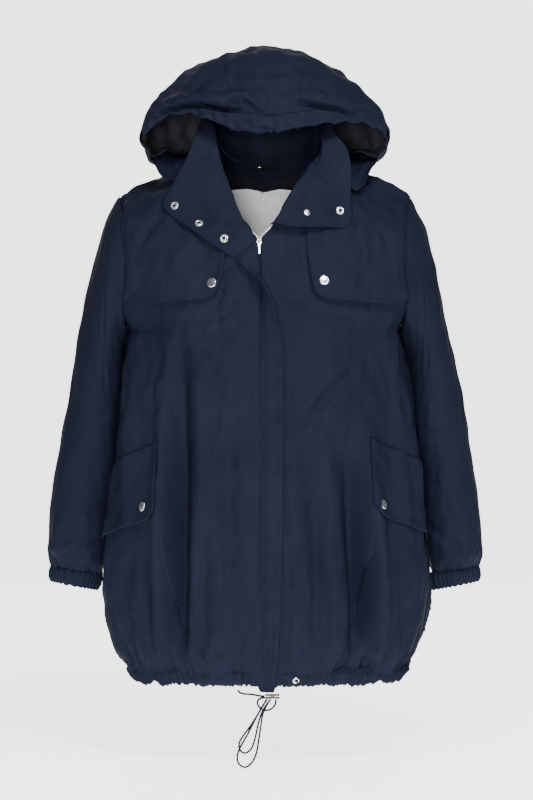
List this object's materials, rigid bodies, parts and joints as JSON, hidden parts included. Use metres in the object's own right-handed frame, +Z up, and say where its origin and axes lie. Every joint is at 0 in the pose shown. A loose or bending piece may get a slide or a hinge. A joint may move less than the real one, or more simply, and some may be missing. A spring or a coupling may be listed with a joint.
{
  "type": "hooded parka",
  "caption": "Hooded parka, filled out and empty: zip under a placket, open snap collar, storm and pocket flaps, elastic cuffs and a hem gathered by a drawcord.",
  "frame": {"origin": "base of the neck, midway between the shoulders", "axes": "+Z up to the hood, -Y out of the front, +X to the wearer's left"},
  "size_m": [0.686, 0.3205, 1.1068],
  "materials": {
    "navy_shell": "fine plain-woven polyester with a soft satin sheen",
    "charcoal_lining": "smooth lining taffeta",
    "grey_jersey": "heather grey jersey",
    "black_tape": "woven tape",
    "black_cord": "satin cord",
    "navy_cord": "braided cord",
    "silver_metal": "polished nickel plate"
  },
  "bodies": {
    "garment": {"front_right_centre": "navy_shell", "front_right_side": "navy_shell", "hem_channel_right": "navy_shell", "sleeve_right_upper": "navy_shell", "sleeve_right_lower": "navy_shell", "cuff_right": "navy_shell", "storm_flap_right": "navy_shell", "pocket_flap_right": "navy_shell", "hood_side_right": "navy_shell", "zip_tape_right": "black_tape", "front_left_centre": "navy_shell", "front_left_side": "navy_shell", "hem_channel_left": "navy_shell", "sleeve_left_upper": "navy_shell", "sleeve_left_lower": "navy_shell", "cuff_left": "navy_shell", "storm_flap_left": "navy_shell", "pocket_flap_left": "navy_shell", "hood_side_left": "navy_shell", "zip_tape_left": "black_tape", "back": "navy_shell", "hem_channel_back": "navy_shell", "hood_centre": "navy_shell", "hood_brim": "navy_shell", "hood_lining": "charcoal_lining", "collar": "navy_shell", "placket": "navy_shell", "zip_chain": "silver_metal", "neck_tape": "black_tape", "back_lining": "grey_jersey", "snap_socket_lapel_top": "silver_metal", "snap_socket_lapel_middle": "silver_metal", "snap_socket_lapel_bottom": "silver_metal", "snap_socket_leaf_left": "silver_metal", "snap_stud_leaf_left": "silver_metal", "snap_cap_storm_right": "silver_metal", "snap_cap_storm_left": "silver_metal", "snap_cap_pocket_right": "silver_metal", "snap_cap_pocket_left": "silver_metal", "hem_eyelet_left": "silver_metal", "zip_slider": "silver_metal", "hem_cord_lead": "navy_cord", "hem_cord_long": "navy_cord", "hem_cord_short": "navy_cord", "hem_cord_ring": "navy_cord", "cord_stop": "silver_metal", "hanger_loop": "black_cord", "hanger_ring": "silver_metal", "hood_cord": "black_cord"},
    "pull_tab": {"zip_pull": "silver_metal"}
  },
  "joints": [
    {"name": "zip_pull_hinge", "type": "hinge", "parent": "garment", "child": "pull_tab", "pos_m": [-0.00797, -0.12961, -0.107], "axis": [-1, 0, 0], "range_deg": [0, 150]}
  ]
}
